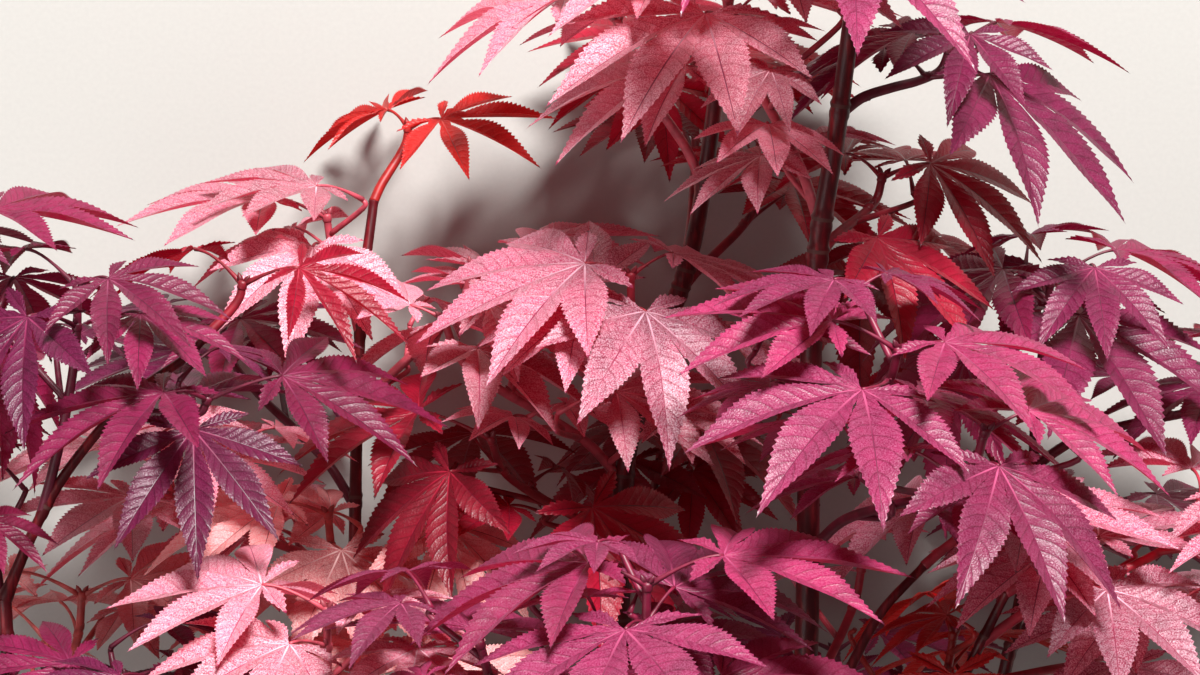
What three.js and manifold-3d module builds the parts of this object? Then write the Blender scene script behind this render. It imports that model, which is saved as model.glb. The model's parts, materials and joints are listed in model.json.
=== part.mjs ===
// A cut branch of a red-leaved japanese maple, lying on its leaves with the cut end on the ground.
//
// One limb is cut through at its lower end and forks into upright stems and side branches. Each side
// shoot with its leaves is one mass: a stem that ends in a pair of leaves, with more pairs below it,
// each turned a quarter round the stem from the pair above, and short twigs in place of some leaves.
// Millimetres. +X is right across the spray, +Y runs from the cut towards the tips, and +Z is up.
// Places are measured from the middle of the spray, and the finished group is then moved so that
// its lowest point is at height zero and its box is centred on the origin.
import * as THREE from "three";
import { mergeVertices } from "three/addons/utils/BufferGeometryUtils.js";
import Module from "manifold-3d";

const wasm = await Module();
wasm.setup();

// Driving dimensions.
const LEAF_LENGTH = 60; // from the leaf stalk to the tip of the middle lobe
const LEAF_THICKNESS = 2.2; // at the stalk, thinning to the edge
const STALK_RADII = [0.9, 0.87, 0.84, 0.93, 0.96]; // a leaf stalk's radius, and others to fall back on
const SHOOT_RADIUS = { base: 1.8, tip: 1.35 };
const SHOOT_BEND = { along: 0.6, leave: 0.35, arrive: 0.3 }; // how a shoot curves off its limb
const PLAIN_PAIRS = 2; // the pairs at a shoot's end that are always leaves, not twigs
const LEAF_CHANCE = 0.5; // how often a place further back has a leaf rather than a twig
const END_LEAF = 0.92; // the size of a shoot's last two leaves against its others
const BARE_BASE = 8; // a shoot has no leaves this near its limb
const TWIG_LENGTH = { least: 30, most: 44 };
const TWIG_RISE = 6; // how far a twig's end turns up
const TWIG_LEAF = 0.85; // the size of a twig's leaves against its shoot's
const TWIG_CLEAR = { from: 0.12, to: 0.85 }; // the stretch of a twig that leaves keep clear of
const TWIG_EXTRA = 0.15; // how much thicker than a leaf stalk a short twig is
const KNOT_RADIUS = 2.3; // the swelling at the end of a shoot or twig, where its last leaves grow
const NODES = [0, 13, 38, 66]; // how far each pair of leaves stands back from a shoot's tip
const SEAT_GAP = 0.3; // between a limb and what grows out of it
const LEAN = THREE.MathUtils.degToRad(20); // how far the way that the leaves face tips up from +Y
const SLIVER = 0.1; // faces thinner than this at a join are smoothed away
const GRID = 0.01; // the corners of the finished solids lie on a grid of this size
const LIMB_SIDES = 7;
const LIMB_POINTS = 24; // points of a limb's smooth line from one of its places to the next
const LIMB_STEP = 14; // points of that line from one ring of the limb's solid to the next
const SHOOT_SIDES = 4;
const SHOOT_STEPS = 5;
const STALK_SIDES = 3;

// Ways in the leaning frame: leaves face FACING, and spread out level with RIGHT and OUTWARD.
const FACING = new THREE.Vector3(0, Math.cos(LEAN), Math.sin(LEAN));
const RIGHT = new THREE.Vector3(1, 0, 0);
const OUTWARD = new THREE.Vector3(0, -Math.sin(LEAN), Math.cos(LEAN));

// The leaf's lobes: the angle from the middle lobe in degrees, and the length and half width as shares
// of LEAF_LENGTH. The two by the stalk are small and have no shoulders.
const LOBES = [
  { angle: -122, length: 0.38, half: 0 },
  { angle: -76, length: 0.74, half: 0.105 },
  { angle: -37, length: 0.94, half: 0.125 },
  { angle: 0, length: 1, half: 0.13 },
  { angle: 37, length: 0.94, half: 0.125 },
  { angle: 76, length: 0.74, half: 0.105 },
  { angle: 122, length: 0.38, half: 0 },
];
const SINUS = [0.2, 0.26, 0.29, 0.29, 0.26, 0.2]; // how far out the gaps between lobes start
const SHOULDER = 0.52; // where a lobe is widest, as a share of its length

// What a leaf needs clear round it, and how often it is tried before it is left out.
const CLEAR = { blade: 1.15, limb: 1.2 };
const STALK_ROOM = 1; // the radius of a stalk's room
const TWIG_ROOM = 1.1;
const TRIES = 12;
const LOWEST_ROOM = -147.3; // no leaf's room goes below this height
const MORE_FREEDOM = 0.12; // how much further each next try may turn and tip
const SMALLER = 0.02; // how much smaller the leaf of each next try is
const STALK_CLEAR = 0.28; // the share of a stalk's first length that lies within its shoot's own room
const HANG = [12, 24, 40]; // how far the leaves of each pair tip down, from the end pair back, in degrees
const FLATTER = { magenta: 0.3, pink: 0.4, rose: 0.5, salmon: 0.7 }; // the share of HANG that some keep

const at = (x, y, z) => new THREE.Vector3(x, y, z);

// Limbs: the limb each grows from, how far up that limb it leaves (as a height along +Y), the places it
// passes, and its radius at both ends. The first one has no parent: it starts at the cut.
const LIMBS = [
  {
    name: "cut_limb",
    route: [at(40, -352, -139.2), at(46, -295, -104), at(52, -240, -70)],
    radius: [7.5, 6],
  },
  {
    name: "front_stem",
    from: "cut_limb",
    leaves: -240,
    route: [
      at(60, -175, -30),
      at(66.5, -110, 0),
      at(67, -20, 18),
      at(69, 26, 26),
      at(75, 68, 34),
      at(82, 128, 46),
    ],
    radius: [4.6, 2.6],
  },
  {
    name: "rear_stem",
    from: "cut_limb",
    leaves: -262,
    route: [
      at(30, -190, -86),
      at(10, -120, -72),
      at(7, -76, -62),
      at(11, -31, -54),
      at(31, 30, -44),
      at(41, 96, -36),
    ],
    radius: [4.4, 2.6],
  },
  {
    name: "left_sweep",
    from: "cut_limb",
    leaves: -298,
    route: [at(10, -288, -100), at(-60, -264, -80), at(-128, -226, -52)],
    radius: [4.1, 3.3],
  },
  {
    name: "left_riser",
    from: "left_sweep",
    leaves: -226,
    route: [at(-168, -185, -26), at(-190, -130, -6), at(-193.5, -85, 0)],
    radius: [3.1, 2.2],
  },
  {
    name: "left_branch",
    from: "left_riser",
    leaves: -85,
    route: [at(-182, -59, 1), at(-171, -41, 2), at(-153, -20, 2), at(-135, -7, 2), at(-129, -1, 2)],
    radius: [1.9, 1.3],
  },
  {
    name: "left_back_branch",
    from: "left_sweep",
    leaves: -264,
    route: [at(-80, -195, -94), at(-86, -120, -94), at(-86, -50, -92), at(-84, 10, -92), at(-80, 48, -96)],
    radius: [2.9, 1.7],
  },
  {
    name: "right_low_branch",
    from: "front_stem",
    leaves: -150,
    route: [at(74, -124, 0), at(80, -109, 4), at(91, -89, 4), at(105, -74, 3)],
    radius: [2, 1.4],
  },
  {
    name: "right_outer_branch",
    from: "front_stem",
    leaves: -200,
    route: [at(86, -165, -26), at(112, -124, -10), at(132, -83, 0)],
    radius: [2.6, 1.5],
  },
  {
    name: "right_back_branch",
    from: "cut_limb",
    leaves: -270,
    route: [at(95, -217, -86), at(130, -150, -76), at(146, -80, -62), at(148, -24, -50)],
    radius: [3.3, 1.7],
  },
  {
    name: "forward_branch",
    from: "cut_limb",
    leaves: -282,
    route: [at(40, -238, -42), at(24, -182, 18), at(12, -132, 58)],
    radius: [2.9, 1.8],
  },
];

// Masses: the limb each shoot grows from, the height along +Y where it leaves, its tip, the way that its
// end pair of leaves points (in degrees round FACING from RIGHT towards OUTWARD), its pairs of leaves,
// the size of its leaves against LEAF_LENGTH, and its colour.
const MASSES = [
  ["centre_shoot", "rear_stem", -30, at(10, 20, -2), 355, 4, 1, "rose"],
  ["left_tip_shoot", "left_branch", -1, at(-116, 17, 2), 15, 1, 0.8, "crimson"],
  ["left_middle_shoot", "left_branch", -26, at(-126, -20, 14), 340, 3, 0.95, "purple"],
  ["left_upper_shoot", "left_branch", -58, at(-168, 16, 12), 20, 3, 0.95, "purple"],
  ["left_outer_shoot", "left_riser", -100, at(-214, 32, 0), 350, 3, 1, "plum"],
  ["right_low_shoot", "right_low_branch", -74, at(118, -60, 4), 5, 2, 0.95, "rose"],
  ["right_outer_shoot", "right_outer_branch", -83, at(154, -72, 2), 340, 3, 0.95, "rose"],
  ["right_young_shoot", "right_outer_branch", -100, at(196, -52, -2), 75, 2, 0.75, "rose"],
  ["crown_left_shoot", "front_stem", 34, at(40, 114, 8), 15, 3, 1, "pink"],
  ["crown_right_shoot", "front_stem", 70, at(112, 92, 14), 325, 3, 1, "plum"],
  ["crown_middle_shoot", "rear_stem", 14, at(54, 50, -46), 30, 3, 0.9, "crimson"],
  ["crown_dark_shoot", "front_stem", 24, at(92, 52, -4), 20, 3, 0.9, "crimson"],
  ["crown_rear_shoot", "rear_stem", 50, at(6, 104, -22), 15, 2, 1, "pink"],
  ["front_right_shoot", "front_stem", -28, at(90, -4, 78), 15, 3, 1, "magenta"],
  ["front_low_right_shoot", "front_stem", -70, at(114, -28, 98), 345, 3, 1, "magenta"],
  ["front_low_shoot", "forward_branch", -132, at(14, -74, 94), 15, 3, 1, "magenta"],
  ["front_low_left_shoot", "forward_branch", -150, at(-36, -92, 84), 345, 3, 1, "magenta"],
  ["centre_left_shoot", "rear_stem", -50, at(-52, 6, -28), 335, 4, 1, "pink"],
  ["centre_low_shoot", "rear_stem", -76, at(-36, -34, -24), 15, 3, 1, "crimson"],
  ["left_low_shoot", "left_riser", -130, at(-152, -110, 14), 10, 3, 1, "purple"],
  ["left_lit_shoot", "left_back_branch", -110, at(-92, -60, -46), 350, 4, 1, "salmon"],
  ["left_lit_far_shoot", "left_back_branch", -90, at(-150, -44, -52), 15, 3, 1, "pink"],
  ["left_corner_shoot", "left_riser", -150, at(-176, -88, -50), 340, 2, 1, "salmon"],
  ["rear_top_shoot", "left_back_branch", 48, at(-68, 74, -100), 40, 1, 0.75, "red"],
  ["rear_left_shoot", "left_back_branch", 0, at(-96, 42, -91), 345, 3, 1, "pink"],
  ["right_shoot", "right_back_branch", -24, at(150, 18, -28), 340, 3, 1.05, "plum"],
  ["right_far_shoot", "right_back_branch", -44, at(222, -8, -36), 40, 3, 1, "plum"],
  ["right_red_shoot", "right_outer_branch", -150, at(116, -98, -12), 30, 3, 0.95, "red"],
  ["right_inner_shoot", "front_stem", -128, at(86, -76, -14), 70, 2, 0.9, "rose"],
  ["front_stem_tip_shoot", "front_stem", 128, at(88, 168, 56), 10, 2, 1, "magenta"],
  ["rear_stem_tip_shoot", "rear_stem", 96, at(46, 140, -30), 60, 3, 1, "rose"],
  ["front_top_shoot", "front_stem", 104, at(60, 128, 86), 330, 2, 1, "magenta"],
  ["below_left_shoot", "left_sweep", -250, at(-92, -150, -20), 20, 2, 1, "plum"],
  ["below_middle_shoot", "rear_stem", -150, at(-14, -130, -18), 60, 2, 1, "crimson"],
  ["below_right_shoot", "right_outer_branch", -175, at(140, -146, 6), 10, 2, 1, "magenta"],
  ["under_middle_shoot", "rear_stem", -100, at(22, -34, -116), 20, 2, 1, "crimson"],
  ["under_left_shoot", "left_back_branch", -60, at(-136, 4, -118), 60, 2, 1, "purple"],
  ["centre_back_shoot", "left_back_branch", -30, at(-44, 24, -62), 20, 3, 1, "pink"],
  ["left_inner_shoot", "left_sweep", -276, at(-62, -112, -30), 30, 2, 0.95, "salmon"],
  ["right_side_shoot", "right_outer_branch", -120, at(176, -96, -34), 20, 2, 1, "rose"],
  ["front_left_shoot", "left_sweep", -262, at(-86, -86, 34), 20, 3, 0.95, "pink"],
  ["under_right_shoot", "right_back_branch", -110, at(184, -60, -118), 10, 2, 1, "plum"],
  ["under_top_shoot", "rear_stem", 20, at(34, 100, -104), 30, 1, 1, "crimson"],
  ["under_right_top_shoot", "right_back_branch", -74, at(110, 30, -104), 70, 2, 1, "crimson"],
  ["under_low_shoot", "right_back_branch", -180, at(84, -112, -106), 0, 1, 1, "purple"],
];

const BARK = { color: 0x520e16, roughness: 0.5, metalness: 0 };
const LEAF_COLOURS = {
  purple: 0x781648,
  plum: 0x8c2052,
  crimson: 0x900c2a,
  magenta: 0xac285e,
  rose: 0xb83a5e,
  pink: 0xcc5a76,
  salmon: 0xd86c78,
  red: 0xc01c1c,
};

// A run of numbers from 0 to 1 that a seed fixes.
function seeded(seed) {
  let state = seed | 0;
  return () => {
    state = (state + 0x6d2b79f5) | 0;
    let t = Math.imul(state ^ (state >>> 15), 1 | state);
    t = (t + Math.imul(t ^ (t >>> 7), 61 | t)) ^ t;
    return ((t ^ (t >>> 14)) >>> 0) / 4294967296;
  };
}

const onGrid = (length) => Math.round(length / GRID) * GRID;
const between = (draw, low, high) => low + (high - low) * draw();
const mixed = (a, b, share) => a.clone().lerp(b, share);

// The level way at an angle round FACING.
function levelWay(degrees) {
  const angle = THREE.MathUtils.degToRad(degrees);
  return RIGHT.clone().multiplyScalar(Math.cos(angle)).addScaledVector(OUTWARD, Math.sin(angle));
}

function solidFrom(positions, index) {
  const geometry = new THREE.BufferGeometry();
  geometry.setAttribute("position", new THREE.Float32BufferAttribute(positions, 3));
  geometry.setIndex(index);
  const merged = mergeVertices(geometry, 1e-4);
  return new wasm.Manifold(
    new wasm.Mesh({
      numProp: 3,
      vertProperties: merged.attributes.position.array,
      triVerts: new Uint32Array(merged.index.array),
    }),
  );
}

// A closed tapering tube through a list of points, with a ring of corners round each.
function taperedTube(points, radiusAt, sides) {
  const positions = [];
  const index = [];
  const last = points.length - 1;
  let across = null;
  points.forEach((point, i) => {
    const along = points[Math.min(i + 1, last)].clone().sub(points[Math.max(i - 1, 0)]).normalize();
    if (!across) across = new THREE.Vector3().crossVectors(along, RIGHT).normalize();
    across = across.clone().addScaledVector(along, -across.dot(along)).normalize();
    const other = new THREE.Vector3().crossVectors(along, across);
    for (let k = 0; k < sides; k++) {
      const angle = (2 * Math.PI * k) / sides;
      const corner = point.clone();
      corner.addScaledVector(across, radiusAt(i / last) * Math.cos(angle));
      corner.addScaledVector(other, radiusAt(i / last) * Math.sin(angle));
      positions.push(corner.x, corner.y, corner.z);
    }
  });
  for (let i = 0; i < last; i++) {
    for (let k = 0; k < sides; k++) {
      const next = (k + 1) % sides;
      const [a, b, c, d] = [i * sides + k, i * sides + next, (i + 1) * sides + k, (i + 1) * sides + next];
      index.push(a, b, c, b, d, c);
    }
  }
  for (let k = 1; k < sides - 1; k++) {
    index.push(0, k + 1, k);
    index.push(last * sides, last * sides + k, last * sides + k + 1);
  }
  return solidFrom(positions, index);
}

// The points of a smooth line through a limb's places, close together.
function limbLine(route) {
  const curve = new THREE.CatmullRomCurve3(route, false, "catmullrom", 0.5);
  return curve.getPoints(LIMB_POINTS * (route.length - 1));
}

// Where a line first reaches a height along +Y, and the way that it runs there.
function onLine(line, height) {
  for (let i = 1; i < line.length; i++) {
    if (line[i].y < height && i < line.length - 1) continue;
    const [low, high] = [line[i - 1], line[i]];
    const share = THREE.MathUtils.clamp((height - low.y) / (high.y - low.y), 0, 1);
    return { point: mixed(low, high, share), way: high.clone().sub(low).normalize() };
  }
}

// Every few points of a line, with both of its ends, for a solid of few faces.
function thinned(line, step) {
  const count = Math.max(2, Math.round((line.length - 1) / step));
  return Array.from({ length: count + 1 }, (_, i) => line[Math.round((i * (line.length - 1)) / count)]);
}

function grownOutwards(points, margin) {
  const first = points[0].clone().sub(points[1]).setLength(margin).add(points[0]);
  const last = points.at(-1).clone().sub(points.at(-2)).setLength(margin).add(points.at(-1));
  return [first, ...points.slice(1, -1), last];
}

const limbs = new Map();
for (const { name, from, leaves, route, radius } of LIMBS) {
  const start = from ? [onLine(limbs.get(from).line, leaves).point] : [];
  const line = limbLine([...start, ...route]);
  const points = thinned(line, LIMB_STEP);
  const [base, tip] = radius;
  const widths = (margin) => (share) => base + (tip - base) * share + margin;
  let solid = taperedTube(points, widths(0), LIMB_SIDES);
  if (from) solid = solid.subtract(limbs.get(from).seat);
  limbs.set(name, {
    line,
    solid,
    seat: taperedTube(grownOutwards(points, SEAT_GAP), widths(SEAT_GAP), LIMB_SIDES),
    guard: taperedTube(points, widths(CLEAR.limb), LIMB_SIDES),
  });
}

// A point of a leaf, in its own frame (forward, side, up) as a share of its length: along a lobe's
// middle line by reach and off it by offset. Lobes droop outwards, and fold up along the middle line.
function leafPoint(leaf, lobe, reach, offset) {
  const angle = THREE.MathUtils.degToRad(lobe.angle * leaf.spread);
  const forward = reach * Math.cos(angle) - offset * Math.sin(angle);
  const side = reach * Math.sin(angle) + offset * Math.cos(angle);
  const droop = leaf.droops[LOBES.indexOf(lobe)] * reach * reach;
  return at(forward, side, leaf.fold * Math.abs(offset) - droop);
}

// The leaf's outline, from the small lobe on one side of the stalk round to the one on the other.
function leafOutline(leaf) {
  const rim = [];
  LOBES.forEach((lobe, i) => {
    if (lobe.half) rim.push(leafPoint(leaf, lobe, lobe.length * SHOULDER, -lobe.half));
    rim.push(leafPoint(leaf, lobe, lobe.length, 0));
    if (lobe.half) rim.push(leafPoint(leaf, lobe, lobe.length * SHOULDER, lobe.half));
    if (i < SINUS.length) {
      const middle = { angle: (lobe.angle + LOBES[i + 1].angle) / 2 };
      const gap = leafPoint({ ...leaf, droops: [] }, middle, SINUS[i], 0);
      rim.push(gap.setZ(-leaf.droops[i] * SINUS[i] ** 2));
    }
  });
  return rim;
}

// From a leaf's own frame to the spray's.
function placed(leaf, point) {
  return leaf.centre
    .clone()
    .addScaledVector(leaf.forward, point.x * leaf.length)
    .addScaledVector(leaf.side, point.y * leaf.length)
    .addScaledVector(leaf.normal, point.z * leaf.length);
}

// A leaf as one solid. Its blade is thickest at the stalk and comes to an edge at its rim, and the
// stalk is a three-sided tube whose last ring is the blade's middle.
function leafSolid(leaf, radius) {
  const line = [leaf.node, leaf.bend, leaf.centre];
  const rings = line.flatMap((point, i) => {
    const along = line[Math.min(i + 1, 2)].clone().sub(line[Math.max(i - 1, 0)]).normalize();
    const across = leaf.normal.clone().addScaledVector(along, -leaf.normal.dot(along)).normalize();
    const half = leaf.normal.clone().multiplyScalar(LEAF_THICKNESS / 2);
    const up = i < 2 ? across.multiplyScalar(radius) : half;
    const low = point.clone().addScaledVector(up, i < 2 ? -0.5 : -1);
    const [left, right] = [-1, 1].map((way) => low.clone().addScaledVector(leaf.side, way * radius));
    return [point.clone().add(up), left, right];
  });
  const index = [0, 2, 1];
  for (const ring of [0, 3]) {
    for (const k of [0, 1, 2]) {
      const next = (k + 1) % 3;
      index.push(ring + k, ring + next, ring + 3 + k, ring + next, ring + 3 + next, ring + 3 + k);
    }
  }
  const rim = leafOutline(leaf).map((point) => placed(leaf, point));
  const [top, left, right, first] = [6, 7, 8, 9];
  const last = first + rim.length - 1;
  const middle = first + (rim.length - 1) / 2;
  index.push(top, left, first, top, last, right, right, middle, left);
  for (let i = first; i < last; i++) {
    index.push(top, i, i + 1, i < middle ? left : right, i + 1, i);
  }
  return solidFrom([...rings, ...rim].flatMap((p) => p.toArray()), index);
}

// The room that a blade needs: a slab as wide as it is, from above it to below it.
function bladeRoom(leaf) {
  const outline = [at(0, 0, 0), ...leafOutline(leaf)].map((point) => placed(leaf, point));
  const upper = outline.map((p) => p.clone().addScaledVector(leaf.normal, CLEAR.blade));
  const lower = outline.map((p) => p.clone().addScaledVector(leaf.normal, -CLEAR.blade));
  const count = outline.length;
  const index = [];
  for (let i = 0; i < count; i++) {
    const next = (i + 1) % count;
    if (i && next) index.push(0, i, next, count, count + next, count + i);
    index.push(i, count + i, next, next, count + i, count + next);
  }
  return solidFrom([...upper, ...lower].flatMap((p) => p.toArray()), index);
}

// A leaf on its stalk, from a node of a shoot. The draws give it its own length, droop, turn and folds.
function drawLeaf(node, way, level, hang, size, seed, freedom) {
  const draw = seeded(seed);
  const turn = between(draw, -20, 20) * freedom;
  const tip = THREE.MathUtils.degToRad(hang + between(draw, -12, 12) * freedom);
  const roll = THREE.MathUtils.degToRad(between(draw, -14, 14));
  const stalk = between(draw, 0.28, 0.5) * LEAF_LENGTH * size;
  const length = between(draw, 0.88, 1.1) * LEAF_LENGTH * size;
  const fold = between(draw, 0.1, 0.4);
  const curl = between(draw, 0.08, 0.25);
  const spread = between(draw, 0.88, 1.04);
  const droops = LOBES.map(() => curl + between(draw, -0.05, 0.14));
  const out = levelWay(level + turn);
  const rising = way.clone().multiplyScalar(0.5).addScaledVector(out, 0.86).normalize();
  const bend = node.clone().addScaledVector(rising, stalk * 0.6);
  const centre = bend.clone().addScaledVector(out, stalk * 0.38).addScaledVector(FACING, stalk * 0.08);
  const forward = out.clone().multiplyScalar(Math.cos(tip)).addScaledVector(FACING, -Math.sin(tip));
  const flatUp = FACING.clone().multiplyScalar(Math.cos(tip)).addScaledVector(out, Math.sin(tip));
  const normal = flatUp.applyAxisAngle(forward, roll);
  const side = new THREE.Vector3().crossVectors(normal, forward);
  return { node, bend, centre, forward, side, normal, length, fold, spread, droops };
}

// The room that a leaf's stalk needs, from a share of its first length on.
function stalkRoom(leaf, from) {
  const start = mixed(leaf.node, leaf.bend, from);
  return taperedTube([start, leaf.bend, leaf.centre], () => STALK_ROOM, STALK_SIDES);
}

function boxesMeet(a, b) {
  return [0, 1, 2].every((k) => a.min[k] <= b.max[k] && b.min[k] <= a.max[k]);
}

const meets = (a, b) => boxesMeet(a.boundingBox(), b.boundingBox()) && a.intersect(b).volume() > 1e-6;

// What stands in the way of a new leaf: each limb with a margin, each shoot, and each leaf so far.
const guards = [...limbs.values()].map((limb) => limb.guard);
const taken = [...guards];

// The first of a leaf's tries that is clear of everything and stays above the ground, or nothing.
function clearLeaf(node, way, level, hang, size, seed) {
  for (let attempt = 0; attempt < TRIES; attempt++) {
    const smaller = size * (1 - attempt * SMALLER);
    const leaf = drawLeaf(node, way, level, hang, smaller, seed + attempt, 1 + attempt * MORE_FREEDOM);
    const blade = bladeRoom(leaf);
    if (blade.boundingBox().min[2] < LOWEST_ROOM) continue;
    if (taken.some((other) => meets(blade, other))) continue;
    if (guards.some((guard) => meets(stalkRoom(leaf, 0), guard))) continue;
    const stalk = stalkRoom(leaf, STALK_CLEAR);
    if (taken.some((other) => meets(stalk, other))) continue;
    return { leaf, rooms: [blade, stalk] };
  }
  return null;
}

// A shoot's line: it leaves its limb aslant, and turns towards the way that the leaves face.
function shootLine(base, limbWay, tip) {
  const span = tip.distanceTo(base);
  const { along, leave, arrive } = SHOOT_BEND;
  const leaving = tip.clone().sub(base).normalize().addScaledVector(limbWay, along).normalize();
  const first = base.clone().addScaledVector(leaving, span * leave);
  const second = tip.clone().addScaledVector(FACING, -span * arrive);
  return new THREE.CubicBezierCurve3(base, first, second, tip).getPoints(SHOOT_STEPS);
}

// The point at a distance back from the end of a line, and the way that the line runs there.
function backFromTip(line, distance) {
  let left = distance;
  for (let i = line.length - 1; i > 0; i--) {
    const step = line[i].distanceTo(line[i - 1]);
    if (left <= step) {
      const way = line[i].clone().sub(line[i - 1]).normalize();
      return { point: mixed(line[i], line[i - 1], left / step), way };
    }
    left -= step;
  }
  return null;
}

function lengthOf(line) {
  return line.slice(1).reduce((sum, point, i) => sum + point.distanceTo(line[i]), 0);
}

// Each mass's shoot, with the limb that it grows from.
function growShoot([name, from, leaves, tip]) {
  const limb = limbs.get(from);
  const start = onLine(limb.line, leaves);
  const line = shootLine(start.point, start.way, tip);
  const { base, tip: end } = SHOOT_RADIUS;
  const stem = taperedTube(line, (share) => base + (end - base) * share, SHOOT_SIDES);
  return { name, limb, line, stem };
}

// The pairs of leaves and twigs of a mass on its shoot, each kept only where it is clear.
function growLeaves({ line, stem }, [, , , , turn, pairs, size, colour], number) {
  const leaves = [];
  const twigs = [];
  const knots = [];
  const reach = lengthOf(line);
  const keep = (found) => {
    if (!found) return;
    leaves.push(found.leaf);
    taken.push(...found.rooms);
  };
  for (let pair = 0; pair < pairs; pair++) {
    const back = NODES[pair];
    if (back > reach - BARE_BASE) break;
    const { point, way } = backFromTip(line, back);
    const hang = HANG[Math.min(pair, HANG.length - 1)] * (FLATTER[colour] ?? 1);
    for (const half of [0, 1]) {
      const seed = number * 10000 + pair * 1000 + half * 100;
      const level = turn + 90 * pair + 180 * half;
      const draw = seeded(seed + 50);
      if (pair < PLAIN_PAIRS || draw() < LEAF_CHANCE) {
        keep(clearLeaf(point, way, level, hang, size * (pair ? 1 : END_LEAF), seed));
        continue;
      }
      // A short twig in the leaf's place, with a pair of smaller leaves at its end.
      const length = between(draw, TWIG_LENGTH.least, TWIG_LENGTH.most);
      const aslant = way.clone().multiplyScalar(0.6).addScaledVector(levelWay(level), 0.8);
      const knee = point.clone().addScaledVector(aslant.normalize(), length);
      const twigTip = knee.clone().addScaledVector(FACING, TWIG_RISE);
      const [near, far] = [TWIG_CLEAR.from, TWIG_CLEAR.to].map((share) => mixed(point, knee, share));
      const knot = knotSolid(twigTip, FACING);
      const rooms = [taperedTube([near, knee, twigTip], () => TWIG_ROOM, STALK_SIDES), knot];
      if (taken.some((other) => rooms.some((room) => meets(room, other)))) continue;
      twigs.push([point, knee, twigTip]);
      taken.push(taperedTube([near, far], () => TWIG_ROOM, STALK_SIDES));
      knots.push(knot);
      for (const hand of [0, 1]) {
        const across = level + 90 + 180 * hand;
        keep(clearLeaf(twigTip, FACING, across, hang, size * TWIG_LEAF, seed + 20 + 10 * hand));
      }
    }
    if (pair === 0) knots.push(knotSolid(point, way));
  }
  // Later masses keep clear of the whole of this one, also where its own leaves grow close together.
  taken.push(...knots, ...leaves.map((leaf) => stalkRoom(leaf, 0)));
  taken.push(...twigs.map((twig) => taperedTube(twig, () => TWIG_ROOM, STALK_SIDES)));
  return { stem, leaves, twigs, knots };
}

function cornersOf(solid) {
  const { vertProperties, triVerts, numProp } = solid.getMesh();
  const positions = [];
  for (let i = 0; i < vertProperties.length; i += numProp) {
    positions.push(...vertProperties.slice(i, i + 3).map(onGrid));
  }
  return { positions, index: [...triVerts] };
}

// Whether exactly two faces meet at each edge once corners in the same place are one.
function meetsInPairs({ positions, index }) {
  const steps = positions.map((v) => Math.round(v / GRID));
  const placeOf = (corner) => steps.slice(corner * 3, corner * 3 + 3).join();
  const faces = new Map();
  for (let i = 0; i < index.length; i++) {
    const next = i % 3 === 2 ? i - 2 : i + 1;
    const edge = [placeOf(index[i]), placeOf(index[next])].sort().join(" ");
    faces.set(edge, (faces.get(edge) ?? 0) + 1);
  }
  return [...faces.values()].every((count) => count === 2);
}

// The largest body of a solid, without loose scraps and without slivers at its joins. Each pass joins
// the corners that the last one brought together on the grid.
function tidied(solid) {
  const largest = (bodies) => bodies.reduce((a, b) => (b.volume() > a.volume() ? b : a));
  let kept = largest(solid.decompose()).simplify(SLIVER);
  for (let pass = 0; pass < 3; pass++) {
    const { positions, index } = cornersOf(kept);
    kept = largest(solidFrom(positions, index).decompose());
  }
  return kept;
}

// The swelling at the end of a shoot or twig, in which the roots of the last two stalks are sunk.
function knotSolid(point, way) {
  const geometry = new THREE.OctahedronGeometry(KNOT_RADIUS, 0);
  const turned = new THREE.Quaternion().setFromUnitVectors(at(0, 1, 0), way);
  geometry.applyQuaternion(turned).translate(point.x, point.y, point.z);
  const corners = [...geometry.attributes.position.array];
  return solidFrom(corners, corners.slice(0, corners.length / 3).map((_, i) => i));
}

// A mass as one solid, with the first of the stalk radii that leaves no two edges on each other.
function massSolid({ stem, leaves, twigs, knots }) {
  const seats = wasm.Manifold.union([...limbs.values()].map((limb) => limb.seat));
  for (const radius of STALK_RADII) {
    const twigSolids = twigs.map((twig) => taperedTube(twig, () => radius + TWIG_EXTRA, STALK_SIDES));
    const pieces = [stem, ...twigSolids, ...knots, ...leaves.map((leaf) => leafSolid(leaf, radius))];
    const solid = tidied(wasm.Manifold.union(pieces).subtract(seats));
    if (meetsInPairs(cornersOf(solid))) return solid;
  }
  throw new Error("a mass has edges on each other at every stalk radius");
}

function meshOf(name, solid, look) {
  const { positions, index } = cornersOf(solid);
  const geometry = new THREE.BufferGeometry();
  geometry.setAttribute("position", new THREE.Float32BufferAttribute(positions, 3));
  geometry.setIndex(index);
  geometry.computeVertexNormals();
  const mesh = new THREE.Mesh(geometry, new THREE.MeshStandardMaterial(look));
  mesh.name = name;
  return mesh;
}

const shoots = MASSES.map(growShoot);
taken.push(...shoots.map((shoot) => shoot.stem));

const branch = new THREE.Group();
for (const [name, { solid }] of limbs) branch.add(meshOf(name, tidied(solid), BARK));
MASSES.forEach((mass, number) => {
  const grown = growLeaves(shoots[number], mass, number + 1);
  const look = { color: LEAF_COLOURS[mass.at(-1)], roughness: 0.6, metalness: 0 };
  branch.add(meshOf(mass[0], massSolid(grown), look));
});

const box = new THREE.Box3().setFromObject(branch);
const middle = box.getCenter(new THREE.Vector3());
branch.position.set(onGrid(-middle.x), onGrid(-middle.y), onGrid(-box.min.z));

export default branch;
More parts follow.
